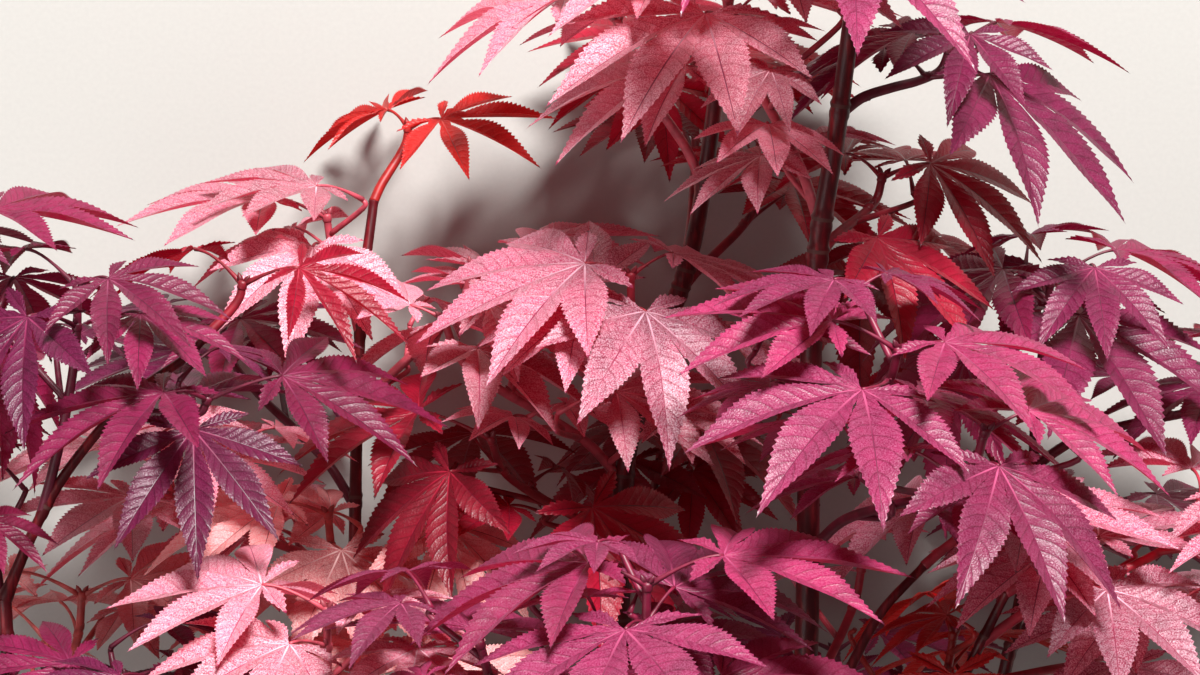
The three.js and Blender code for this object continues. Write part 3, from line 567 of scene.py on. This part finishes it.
class Mass:
    """A shoot with its leaves, twigs and buds."""

    def __init__(self, number, name, row):
        self.number = number
        self.name = name
        limb, height, tip, self.turn, self.pairs, self.size, self.colour = row
        base, way = on_line(limb_lines[limb], height)
        self.line = shoot_line(base, way, Vector(tip))
        self.leaves = []
        self.twigs = []
        self.buds = []
        node = frame["nodes"][name].data
        corners = [Vector(np.array(v.co) / MILLIMETRE - shift) for v in node.vertices]
        self.solid = BVHTree.FromPolygons(corners, [tuple(p.vertices) for p in node.polygons])
        array = np.array(corners)
        self.low = array.min(0) - REACH_MARGIN
        self.high = array.max(0) + REACH_MARGIN

    def holds(self, leaf):
        """Whether a leaf is in the solid: most of its tips lie on the solid's surface."""
        found = [self.solid.find_nearest(tip, FOUND_WITHIN)[0] for tip in leaf.tips()]
        return sum(place is not None for place in found) >= TIPS_NEEDED

    def keep_same(self, *place):
        """Keep the one of a leaf's tries that the solid has, if any."""
        leaf = next((leaf for leaf in leaf_tries(*place) if self.holds(leaf)), None)
        if leaf:
            self.keep(leaf)

    def keep(self, leaf):
        self.leaves.append(leaf)
        taken.extend(rooms_of(leaf))

    def hang(self, pair):
        """How far the leaves of a pair tip down."""
        return HANG[min(pair, len(HANG) - 1)] * FLATTER.get(self.colour, 1)

    def seed(self, node, half):
        return self.number * SEEDS["mass"] + node * SEEDS["node"] + half * SEEDS["half"]

    def nodes(self, distances):
        """The nodes at distances back from the tip, down to the bare base, with the shoot's way there."""
        reach = length_of(self.line) - BARE_BASE
        for number, back in enumerate(distances):
            if back > reach:
                return
            yield number, *back_from_tip(self.line, back)

    def grow(self):
        """The leaves that the solid has, and its twigs."""
        for pair, point, way in self.nodes(NODES[: self.pairs]):
            for half in (0, 1):
                level = self.turn + 90 * pair + 180 * half
                seed = self.seed(pair, half)
                draw = seeded(seed + SEEDS["twig"])
                if pair >= PLAIN_PAIRS and draw() >= LEAF_CHANCE:
                    self.grow_twig(pair, point, way, level, seed, between(draw, *TWIG_LENGTH))
                    continue
                size = self.size * (1 if pair else END_LEAF)
                self.keep_same(point, way, level, self.hang(pair), size, seed)
                self.buds.append((point, way, level))

    def grow_twig(self, pair, point, way, level, seed, length):
        knee = point + twig_way(way, level) * length
        tip = knee + FACING * TWIG_RISE
        if not self.solid.find_nearest(tip, KNOT_RADIUS)[0]:
            return
        self.twigs.append([point, knee, tip])
        taken.append(tube_room([point.lerp(knee, TWIG_CLEAR), knee, tip], CLEAR["stalk"]))
        for hand in (0, 1):
            across = level + 90 + 180 * hand
            leaf_seed = seed + SEEDS["hand"] + NEXT_HAND["plain"] * hand
            self.keep_same(tip, FACING, across, self.hang(pair), self.size * TWIG_LEAF, leaf_seed)

    def inside(self, leaf):
        rim = np.array(leaf.outline())
        return bool(np.all(rim > self.low) and np.all(rim < self.high) and rim[:, 2].min() > LOWEST_ROOM)

    def grow_finer(self):
        """Short twigs with smaller leaves, between the solid's nodes."""
        for k, point, way in self.nodes(FINER_NODES):
            for half in (0, 1):
                level = self.turn + FINER_TURN + 90 * k + 180 * half
                self.grow_fine_twig(point, way, level, self.seed(k, half) + SEEDS["finer"])

    def grow_fine_twig(self, point, way, level, seed):
        """One short twig, which is left out where no leaf on it finds room."""
        draw = seeded(seed + SEEDS["twig"])
        if draw() > FINER_CHANCE:
            return
        length = between(draw, *FINER_TWIG)
        size = self.size * between(draw, *FINER_SIZE)
        knee = point + twig_way(way, level) * length
        tip = knee + FACING * FINER_RISE
        room = tube_room([point.lerp(knee, FINER_CLEAR["from"]), knee, tip], FINER_CLEAR["radius"])
        if not is_clear(room):
            return
        found = 0
        for hand, across in enumerate((level + 90, level - 90, level)):
            leaf_seed = seed + SEEDS["hand"] + NEXT_HAND["finer"] * hand
            tries = leaf_tries(tip, FACING, across, self.hang(0), size, leaf_seed)
            leaf = next((leaf for leaf in tries if self.inside(leaf) and is_clear(*rooms_of(leaf))), None)
            if leaf and found < FINER_LEAVES:
                self.keep(leaf)
                found += 1
        if found:
            self.twigs.append([point, knee, tip])
            taken.append(room)


def limb_room(name):
    """A limb's room: a tube of its mean radius and a margin, round some of its points and its last."""
    line = limb_lines[name]
    some = line[: len(line) - 1 - ROOM_STEP // 2 : ROOM_STEP]
    return tube_room([*some, line[-1]], sum(LIMBS[name][3]) / 2 + CLEAR["limb"])


limb_lines = {}
for limb_name, (parent, leaves_at, places, _) in LIMBS.items():
    start = [on_line(limb_lines[parent], leaves_at)[0]] if parent else []
    limb_lines[limb_name] = smooth_line([*start, *places], LIMB_POINTS)

taken = [limb_room(name) for name in LIMBS]  # the rooms of all that has grown so far
masses = [Mass(i + 1, name, row) for i, (name, row) in enumerate(MASSES.items())]
taken += [tube_room(mass.line[1:], SHOOT_RADIUS[1]) for mass in masses]
for mass in masses:
    mass.grow()
for mass in masses:
    mass.grow_finer()


# Meshes.


def add_object(name, data, place=(0, 0, 0)):
    item = bpy.data.objects.new(name, data)
    item.location = place
    bpy.context.scene.collection.objects.link(item)
    return item


class Shape:
    """Corners and four-sided faces, each with the number of its paint, that become one mesh."""

    def __init__(self):
        self.corners = []
        self.faces = []
        self.paints = []
        self.places = []
        self.count = 0

    def add(self, corners, faces, paints, places=(0, 0, 0)):
        self.corners.append(corners)
        self.faces.append(faces + self.count)
        self.paints.append(np.broadcast_to(paints, len(faces)))
        self.places.append(np.broadcast_to(places, (len(corners), 3)))
        self.count += len(corners)

    def made(self, name, materials):
        corners = to_frame(np.vstack(self.corners))
        corners[:, 2] = np.maximum(corners[:, 2], LOWEST)
        faces = np.vstack(self.faces)
        mesh = bpy.data.meshes.new(name)
        mesh.vertices.add(len(corners))
        mesh.vertices.foreach_set("co", corners.ravel())
        mesh.loops.add(faces.size)
        mesh.loops.foreach_set("vertex_index", faces.ravel())
        mesh.polygons.add(len(faces))
        mesh.polygons.foreach_set("loop_start", np.arange(0, faces.size, 4))
        mesh.polygons.foreach_set("material_index", np.concatenate(self.paints))
        mesh.polygons.foreach_set("use_smooth", np.ones(len(faces), bool))
        place = mesh.attributes.new(PLACE, "FLOAT_VECTOR", "POINT")
        place.data.foreach_set("vector", np.vstack(self.places).astype(np.float32).ravel())
        mesh.update(calc_edges=True)
        mesh.validate()
        for material in materials:
            mesh.materials.append(material)
        piece = add_object(name, mesh)
        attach(piece, "root")
        return piece


def lobe_profile(t):
    """A lobe's half width along it, as a share of the widest: it ends in a long thin point."""
    rising = np.sin(np.pi / 2 * np.clip(t / WIDEST, 0, 1)) ** SWELL
    q = np.clip((t - WIDEST) / (1 - WIDEST), 0, 1)
    return np.where(t < WIDEST, rising, (1 - q) ** THINNING * (1 + THINNING * q))


def lobe_rows(lobe):
    """How far along a lobe its rows of corners stand, and which of them are the tips of teeth."""
    teeth = TEETH if LOBE_HALVES[lobe] else SMALL_TEETH
    toothed = np.linspace(*TOOTHED, 2 * teeth)
    rows = np.concatenate([WEB_ROWS, toothed, [1]])
    tooth = np.zeros(len(rows))
    tooth[len(WEB_ROWS) : -1 : 2] = 1
    return rows, tooth


def lobe_corners(leaf, lobe, breadth):
    """A lobe's corners in the leaf's own frame, with saw edges, lateral ribs and a wavy margin."""
    t, tooth = lobe_rows(lobe)
    length = LOBE_LENGTHS[lobe]
    half = (LOBE_HALVES[lobe] or SMALL_LOBE_HALF) * breadth
    reach = t * length
    width = half * lobe_profile(t) + THREAD
    vein = VEIN * (1 - VEIN_THINNING * t) * math.sqrt(length)
    draw = seeded(leaf.seed + 7 * lobe + 3)
    phase = between(draw, 0, 2 * math.pi)
    angle = math.radians(LOBE_ANGLES[lobe] * leaf.spread)
    droops = [leaf.droops[0], *leaf.droops, leaf.droops[-1]]  # in a web, a droop nears the next lobe's
    columns = []
    for u in COLUMNS:
        side = np.sign(u)
        by_rib, in_middle, at_edge = (abs(u) == share for share in (RIB, MIDDLE, 1))
        neighbour = lobe + int(side)
        free = np.ones(len(t), bool)
        bound = width
        if 0 <= neighbour < len(LOBE_ANGLES):
            gap = math.radians(abs(LOBE_ANGLES[neighbour] - LOBE_ANGLES[lobe]) * leaf.spread / 2)
            web = reach * math.tan(gap)
            free = (web > width) & (t > WEB_ROWS[-1])
            bound = np.where(free, width, web)
        offset = np.minimum(vein, bound * VEIN_LIMIT) * side if by_rib else bound * u
        saw = tooth * free * TOOTH * (TOOTH_LEAST + (1 - TOOTH_LEAST) * width / half) * at_edge
        along = reach + saw * TOOTH_FORWARD
        offset = offset + saw * side
        webbed = np.where(free, 0, abs(offset) / bound)
        droop = leaf.droops[lobe] + (droops[neighbour + 1] - leaf.droops[lobe]) / 2 * webbed
        ribs = np.abs(np.sin(np.pi * (SIDE_VEINS * t - SIDE_SLANT * abs(u)))) * QUILT_DEPTH
        wave = np.sin(WAVES * np.pi * t + phase + side) * t * WAVE_DEPTH
        relief = (ribs + DOME) * in_middle + wave * at_edge
        height = (leaf.fold + DEEPER_FOLD) * np.abs(offset) - droop * along**2 + relief * (width / half)
        x = along * math.cos(angle) - offset * math.sin(angle)
        y = along * math.sin(angle) + offset * math.cos(angle)
        columns.append(np.stack([x, y, height], -1))
    return np.stack(columns, 1).reshape(-1, 3)


def lobe_grid(lobe):
    """A lobe's faces, which of them are midrib or thread, and how far along and out its corners are."""
    t, _ = lobe_rows(lobe)
    faces = grid_faces(len(t), len(COLUMNS))
    across = len(COLUMNS) - 1
    row, column = np.divmod(np.arange(len(faces)), across)
    vein = (column == across // 2) & (row < len(t) * VEIN_END) | (row >= len(t) - THREAD_ROWS)
    along, out = np.meshgrid(t, np.abs(COLUMNS), indexing="ij")
    return faces, vein, np.stack([along, out, np.zeros(along.shape)], -1).reshape(-1, 3)


LOBE_GRIDS = [lobe_grid(lobe) for lobe in range(len(LOBE_ANGLES))]


def add_blade(shape, leaf, blade_paint, vein_paint, breadth):
    """A leaf's blade, which is one piece of lobes that meet in its webs."""
    axes = np.array([leaf.forward, leaf.side, leaf.normal]) * leaf.length
    tone = seeded(leaf.seed + 9)()
    for lobe, (faces, vein, places) in enumerate(LOBE_GRIDS):
        corners = lobe_corners(leaf, lobe, breadth) @ axes + np.array(leaf.centre)
        shape.add(corners, faces, np.where(vein, vein_paint, blade_paint), places + (0, 0, tone))


def ring_ways(points):
    """Two ways square to a line at each of its points, without a twist along it."""
    along = np.gradient(points, axis=0)
    along /= np.linalg.norm(along, axis=1)[:, None]
    across = np.zeros_like(points)
    first = np.cross(along[0], (1, 0, 0))
    across[0] = first / np.linalg.norm(first)
    for i in range(1, len(points)):
        kept = across[i - 1] - along[i] * (across[i - 1] @ along[i])
        across[i] = kept / np.linalg.norm(kept)
    return across, np.cross(along, across)


def ring_angles(sides):
    return np.linspace(0, 2 * np.pi, sides, endpoint=False)


def ways_round(across, other, sides):
    """The ways out to the corners of a ring, from two ways square to each other."""
    angles = ring_angles(sides)[:, None]
    return np.cos(angles) * across[..., None, :] + np.sin(angles) * other[..., None, :]


def add_tube(shape, line, radii, sides, paint):
    """A tapering tube with both ends drawn in."""
    points = np.array(line)
    ways = ways_round(*ring_ways(points), sides)
    radii = np.interp(np.linspace(0, 1, len(points)), np.linspace(0, 1, len(radii)), radii)
    points = np.vstack([points[:1], points, points[-1:]])
    ways = np.concatenate([ways[:1], ways, ways[-1:]])
    radii = np.concatenate([[DRAWN_IN], radii, [DRAWN_IN]])
    corners = points[:, None] + ways * radii[:, None, None]
    shape.add(corners.reshape(-1, 3), grid_faces(len(points), sides, True), paint)


def add_stalk(shape, leaf, paint):
    """A leaf's stalk, bent through the place where the solid's stalk bends."""
    pull = leaf.bend * 2 - (leaf.node + leaf.centre) / 2
    line = []
    for k in range(STALK_STEPS + 1):
        t = k / STALK_STEPS
        line.append(leaf.node * (1 - t) ** 2 + pull * 2 * t * (1 - t) + leaf.centre * t * t)
    add_tube(shape, line, STALK_RADII, STALK_SIDES, paint)


def add_bud(shape, point, way, level, paint):
    """A small pointed bud in the crook of a stalk."""
    out = (way + level_way(level) * BUD_LEAN).normalized()
    add_tube(shape, [point + out * length for length in BUD_PLACES], BUD_RADII, STALK_SIDES, paint)


def add_shoot(shape, mass, paint):
    """A shoot with a collar at each of its nodes."""
    add_tube(shape, smooth_line(mass.line, SHOOT_POINTS), SHOOT_RADIUS, SHOOT_SIDES, paint)
    for _, point, way in mass.nodes(NODES[: mass.pairs]):
        collar = [point + way * along for along in COLLAR_PLACES]
        add_tube(shape, collar, COLLAR_RADII, SHOOT_SIDES, paint)


# Materials.


def linear(hex_colour):
    """A colour written as six hexadecimal digits, as the four numbers that a shader takes."""
    parts = [int(hex_colour[i : i + 2], 16) / 255 for i in (0, 2, 4)]
    return (*[p / 12.92 if p <= 0.04045 else ((p + 0.055) / 1.055) ** 2.4 for p in parts], 1)


def shaded(colour, share):
    """A colour made darker, or lighter where the share is above one."""
    return (*[min(1, part * share) for part in colour[:3]], 1)


def colour_between(colour, other, share):
    """A colour part of the way from one to another."""
    return (*[c + (o - c) * share for c, o in zip(colour[:3], other[:3])], 1)


class Paint:
    """A material, with what its patterns are made from."""

    def __init__(self, name):
        self.material = bpy.data.materials.new(name)
        self.material.use_nodes = True
        self.nodes = self.material.node_tree.nodes
        self.shader = next(n for n in self.nodes if n.type == "BSDF_PRINCIPLED")

    def feed(self, socket, value):
        """Put a number, a colour or another node's output into a socket."""
        if isinstance(value, bpy.types.NodeSocket):
            self.material.node_tree.links.new(value, socket)
        else:
            socket.default_value = value

    def node(self, kind, output, inputs, **settings):
        """An output of a new node, with its inputs and settings."""
        node = self.nodes.new("ShaderNode" + kind)
        for name, value in settings.items():
            setattr(node, name, value)
        for name, value in inputs.items():
            self.feed(node.inputs[name], value)
        return node.outputs[output]

    def place(self):
        return self.node("TexCoord", "Object", {})

    def noise(self, scale, detail, place=None):
        """Soft blots, so many to a metre."""
        inputs = {"Vector": place or self.place(), "Scale": scale, "Detail": detail}
        return self.node("TexNoise", "Fac", inputs)

    def ramp(self, value, stops):
        """A colour that follows a value from stop to stop."""
        ramp = self.nodes.new("ShaderNodeValToRGB")
        elements = ramp.color_ramp.elements
        while len(elements) < len(stops):
            elements.new(0.5)
        for element, (position, colour) in zip(elements, stops):
            element.position = position
            element.color = colour
        self.feed(ramp.inputs["Fac"], value)
        return ramp.outputs["Color"]

    def sum(self, operation, *values):
        """A sum on numbers and on other nodes' values."""
        return self.node("Math", "Value", dict(enumerate(values)), operation=operation)

    def moved(self, value, before, after):
        """A value moved from one range to another, and kept in it."""
        inputs = {"Value": value, "From Min": before[0], "From Max": before[1]}
        return self.node("MapRange", "Result", {**inputs, "To Min": after[0], "To Max": after[1]})

    def blended(self, kind, share, colour, other):
        return self.node("Mix", 2, {0: share, 6: colour, 7: other}, data_type="RGBA", blend_type=kind)

    def leaf_place(self):
        """How far along its lobe and how far out a point of a leaf lies, and its leaf's own tone."""
        place = self.node("Attribute", "Vector", {}, attribute_name=PLACE)
        return self.node("SeparateXYZ", "X", {"Vector": place}).node.outputs

    def shade(self, inputs, bump=None):
        """Feed the shader; a bump is a value, its strength and its depth in metres."""
        for name, value in inputs.items():
            self.feed(self.shader.inputs[name], value)
        if bump:
            relief = dict(zip(("Height", "Strength", "Distance"), bump))
            self.feed(self.shader.inputs["Normal"], self.node("Bump", "Normal", relief))


def leaf_material(name, colour, sheen_colour, strength):
    """A blade: mottled, with side veins sunk into it and darkened, a fine mesh between them, a pale speckle
    of painted sheen and highlight, and a velvet sheen at a grazing look.
    """
    paint = Paint(name)
    along, out, tone = paint.leaf_place()

    vein_number = paint.sum("MULTIPLY_ADD", along, SIDE_VEINS, paint.sum("MULTIPLY", out, -SIDE_SLANT))
    from_middle = paint.sum("SUBTRACT", paint.sum("FRACT", vein_number), 0.5)
    to_vein = paint.sum("MULTIPLY", paint.sum("ABSOLUTE", from_middle), 2)
    vein = paint.moved(to_vein, (RIB_START, 1), (0, RIB_SHADE["share"]))

    tones = [(0.32, shaded(colour, MOTTLE[0])), (0.5, colour), (0.68, shaded(colour, MOTTLE[1]))]
    mottled = paint.ramp(paint.noise(140, 4), tones)
    # A pale speckle of the sheen colour: painted sheen and highlight on the velvety blade.
    pale = paint.moved(paint.noise(2200, 2), SPECKLE, (0, strength))
    blade = paint.blended("MIX", pale, mottled, sheen_colour)
    # Darker side veins: partly their own deeper red, partly painted shade in their sunk grooves.
    veined = paint.blended("MULTIPLY", vein, blade, shaded(colour, RIB_SHADE["colour"]))
    leaf_tone = paint.moved(tone, (0, 1), LEAF_TONES)
    toned = paint.node("VectorMath", "Vector", {"Vector": veined, "Scale": leaf_tone}, operation="SCALE")

    place = {"Vector": paint.place(), "Scale": NET["scale"]}
    net = paint.node("TexVoronoi", "Distance", place, feature="DISTANCE_TO_EDGE")
    cells = paint.moved(net, (0, NET["edge"]), (0, NET["edge"]))
    sunk = paint.sum("MULTIPLY_ADD", paint.sum("POWER", to_vein, 3), -1, cells)
    inputs = {
        "Base Color": toned,
        "Roughness": 0.4,
        "Specular IOR Level": 0.42,
        "Sheen Weight": strength * SHEEN,
        "Sheen Roughness": 0.35,
        "Sheen Tint": sheen_colour,
    }
    paint.shade(inputs, bump=(sunk, 0.34, 0.0005))

    glow = (*[min(1, c * g) for c, g in zip(colour, GLOW)], 1)
    through = paint.node("BsdfTranslucent", "BSDF", {"Color": glow})
    both = paint.node("MixShader", "Shader", {0: THINNESS, 1: paint.shader.outputs["BSDF"], 2: through})
    surface = next(n for n in paint.nodes if n.type == "OUTPUT_MATERIAL").inputs["Surface"]
    paint.feed(surface, both)
    return paint.material


def stem_material(name, colour):
    """The smooth skin of stalks and twigs."""
    paint = Paint(name)
    mottle = paint.noise(260, 3)
    tones = [(0.35, shaded(colour, 0.75)), (0.65, shaded(colour, 1.2))]
    paint.shade({"Base Color": paint.ramp(mottle, tones), "Roughness": 0.48}, bump=(mottle, 0.15, 0.0003))
    return paint.material


def midrib_material(name, groove_shade, pale):
    """A midrib: a pale line by the stalk that turns darker towards the tip, as painted shade of its groove
    in the fold.
    """
    paint = Paint(name)
    along, _, _ = paint.leaf_place()
    colour = paint.ramp(along, list(zip(MIDRIB_TURN, (pale, groove_shade))))
    paint.shade({"Base Color": colour, "Roughness": 0.4})
    return paint.material


def bark_material():
    """Dark, smooth, shining bark with fine streaks along the stem."""
    paint = Paint("bark")
    place = paint.node("Mapping", "Vector", {"Vector": paint.place(), "Scale": STREAK_STRETCH})
    streaks = paint.noise(520, 5, place)
    # The lightest streaks take the lit bark colour: painted light.
    tones = [(0.3, shaded(linear(BARK), 0.55)), (0.52, linear(BARK)), (0.74, linear(BARK_LIT))]
    inputs = {"Base Color": paint.ramp(streaks, tones), "Roughness": 0.42, "Specular IOR Level": 0.3}
    paint.shade(inputs, bump=(streaks, 0.3, 0.0004))
    return paint.material


def plain_material(name, colour, roughness, contrast=0.12):
    """One colour, slightly mottled."""
    paint = Paint(name)
    tones = [(0.3, shaded(colour, 1 - contrast)), (0.7, shaded(colour, 1 + contrast))]
    paint.shade({"Base Color": paint.ramp(paint.noise(600, 4), tones), "Roughness": roughness})
    return paint.material


# Limbs.


def limb_nodes(name):
    """The heights at which limbs and shoots leave a limb."""
    heights = [height for parent, height, *_ in LIMBS.values() if parent == name]
    return heights + [row[1] for row in MASSES.values() if row[0] == name]


def even_line(line, step):
    """A line's points at even distances, with their shares of its points for its taper."""
    points = np.array(line)
    gone = np.concatenate([[0], np.cumsum(np.linalg.norm(np.diff(points, axis=0), axis=1))])
    count = max(4, round(gone[-1] / step))
    wanted = np.linspace(0, gone[-1], count + 1)
    even = np.stack([np.interp(wanted, gone, points[:, k]) for k in range(3)], -1)
    return even, np.interp(wanted, gone, np.linspace(0, 1, len(points))), wanted


def limb_shape(name):
    """A limb: it flares where it starts, swells at its nodes, and is finely ridged along."""
    parent, _, _, (base, tip) = LIMBS[name]
    points, share, gone = even_line(limb_lines[name], LIMB_STEP)
    radius = base + (tip - base) * share
    if parent:
        past = np.clip(gone - LIMBS[parent][3][1], 0, None)
        radius = radius * (1 + FLARE["more"] * np.exp(-past / FLARE["reach"]))
    groove = np.zeros(len(points), bool)
    for height in limb_nodes(name):
        place, _ = on_line(limb_lines[name], height)
        at = gone[np.argmin(np.linalg.norm(points - np.array(place), axis=1))] + RING_REACH
        away = (gone - at) / RING_REACH
        radius = radius * (1 + RING_HEIGHT * np.exp(-((np.abs(away) - RING_PLACE) ** 2) * RING_SHARPNESS))
        groove |= np.abs(away) < GROOVE
    across, other = ring_ways(points)
    ways = ways_round(across, other, LIMB_SIDES)
    corners = []
    for i, point in enumerate(points):
        for way, angle in zip(ways[i], ring_angles(LIMB_SIDES)):
            round_way = Vector((math.cos(angle), math.sin(angle), 0)) * RIDGE["across"]
            ridge = noise.noise(round_way + Vector((0, 0, gone[i] * RIDGE["along"])))
            grain = noise.noise(Vector(point + way * radius[i]) * GRAIN["scale"])
            relief = RIDGE["depth"] * ridge + GRAIN["depth"] * grain
            corners.append(point + way * radius[i] * (1 + relief))
    shape = Shape()
    faces = grid_faces(len(points), LIMB_SIDES, True)
    paints = np.where(groove[faces[:, 0] // LIMB_SIDES], 1, 0)
    shape.add(np.array(corners), faces, paints)
    return shape, points, across, other, radius


def unit(way):
    return way / np.linalg.norm(way)


def add_pores(shape, points, across, other, radius):
    """Small pale pores, raised a little, scattered over a limb."""
    draw = seeded(len(points))
    for _ in range(len(points) // PORE_SPACING):
        i = int(between(draw, 2, len(points) - 4))
        angle = between(draw, 0, 2 * math.pi)
        way = across[i] * math.cos(angle) + other[i] * math.sin(angle)
        along = unit(points[i + 1] - points[i])
        middle = points[i] + way * (radius[i] - PORE_SINK)
        half = between(draw, *PORE_HALVES)
        add_tube(shape, [middle + along * half * k for k in PORE_PLACES], PORE_RADII, STALK_SIDES, 1)


def add_end(shape, point, way, across, other, radius, bevel, paints):
    """A flat round end face with rings of different wood, inside a rim of bark."""
    rim = ways_round(across, other, LIMB_SIDES) * radius
    heights = [0] + [bevel] * (len(END_RINGS) - 1)
    corners = [point + rim * share + way * height for share, height in zip(END_RINGS, heights)]
    faces = grid_faces(len(END_RINGS), LIMB_SIDES, True)
    shape.add(np.vstack(corners), faces, np.array(paints)[faces[:, 0] // LIMB_SIDES])


def make_limb(name, materials):
    """A limb's mesh, with a flat cut where it leaves no other limb, and a blunt tip in its shoot."""
    shape, points, across, other, radius = limb_shape(name)
    add_pores(shape, points, across, other, radius)
    if LIMBS[name][0] is None:
        back = unit(points[0] - points[1])
        add_end(shape, points[0], back, across[0], other[0], radius[0], CUT_BEVEL, CUT_PAINTS)
    forward = unit(points[-1] - points[-2])
    all_bark = [0] * len(CUT_PAINTS)
    add_end(shape, points[-1], forward, across[-1], other[-1], radius[-1], TIP_BEVEL, all_bark)
    piece = shape.made(name + "_bark", materials)
    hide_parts(name)


# The whole branch.

bark = [
    bark_material(),
    plain_material("bark_scar", linear(SCAR), 0.7),
    plain_material("cut_wood", linear(CUT_WOOD), 0.75),
    plain_material("cut_ring", linear(CUT_PITH), 0.75),
]
for limb_name in LIMBS:
    make_limb(limb_name, bark)


def make_spray(colour, row):
    """The leaves of all masses of one colour as one mesh, and their shoots and twigs as another."""
    blade, other_blade, vein, twig, sheen_colour = [linear(digits) for digits in row[:5]]
    strength, breadth = row[5:]
    grown = [mass for mass in masses if mass.colour == colour]
    leaves = Shape()
    twigs = Shape()
    for mass in grown:
        young = YOUNG.get(mass.name, 1)
        add_shoot(twigs, mass, 0)
        for twig_line in mass.twigs:
            add_tube(twigs, smooth_line(twig_line, TWIG_STEPS), TWIG_RADII, TWIG_SIDES, 0)
        for point, way, level in mass.buds:
            add_bud(twigs, point, way, level, 1)
        for leaf in mass.leaves:
            leaf.fold += YOUNG_FOLD if young < 1 else 0
            add_blade(leaves, leaf, leaf.seed // SEEDS["node"] % 2, 2, breadth * young)
            add_stalk(twigs, leaf, 0)
    blade_paints = [
        leaf_material(colour + "_blade", blade, sheen_colour, strength),
        leaf_material(colour + "_blade_deeper", other_blade, sheen_colour, strength),
        # The midrib: pale by the stalk, blade mixed with the painted sheen, and painted groove shade
        # towards its tip.
        midrib_material(colour + "_midrib", vein, colour_between(blade, sheen_colour, strength)),
    ]
    blades = leaves.made(colour + "_leaf_blades", blade_paints)
    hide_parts(*[mass.name for mass in grown])
    twig_paints = [
        stem_material(colour + "_twig", twig),
        stem_material(colour + "_bud", shaded(twig, BUD_SHADE)),
    ]
    stems = twigs.made(colour + "_twigs", twig_paints)


for spray, spray_row in SPRAYS.items():
    make_spray(spray, spray_row)


# Floor, light and camera.


def make_floor():
    mesh = bpy.data.meshes.new("floor")
    signs = ((-1, -1), (1, -1), (1, 1), (-1, 1))
    mesh.from_pydata([(x * FLOOR_HALF, y * FLOOR_HALF, 0) for x, y in signs], [], [(0, 1, 2, 3)])
    mesh.materials.append(plain_material("floor", linear(FLOOR), roughness=0.8, contrast=0.02))
    floor = add_object("floor", mesh)


def add_area_light(name, place, size, power):
    data = bpy.data.lights.new(name, "AREA")
    data.shape = "DISK"
    data.size = size
    data.energy = power
    aim = Vector(LIGHTS_AIM) - Vector(place)
    add_object(name, data, place).rotation_euler = aim.to_track_quat("-Z", "Y").to_euler()


def make_world():
    world = bpy.data.worlds.new("studio")
    world.use_nodes = True
    background = next(n for n in world.node_tree.nodes if n.type == "BACKGROUND")
    background.inputs["Color"].default_value = WORLD_LIGHT["colour"]
    background.inputs["Strength"].default_value = WORLD_LIGHT["strength"]
    bpy.context.scene.world = world
    bpy.context.scene.view_settings.view_transform = "Standard"


def make_camera():
    data = bpy.data.cameras.new("camera")
    data.sensor_width = SENSOR_WIDTH
    data.angle = CAMERA_ANGLE
    bpy.context.scene.camera = add_object("camera", data, to_frame((0, 0, CAMERA_DISTANCE)))


make_floor()
add_area_light("key", (0.3, 1.35, 1.5), size=0.5, power=98)
add_area_light("fill", (-1.1, -0.6, 1.4), size=1.2, power=13)
make_world()
make_camera()
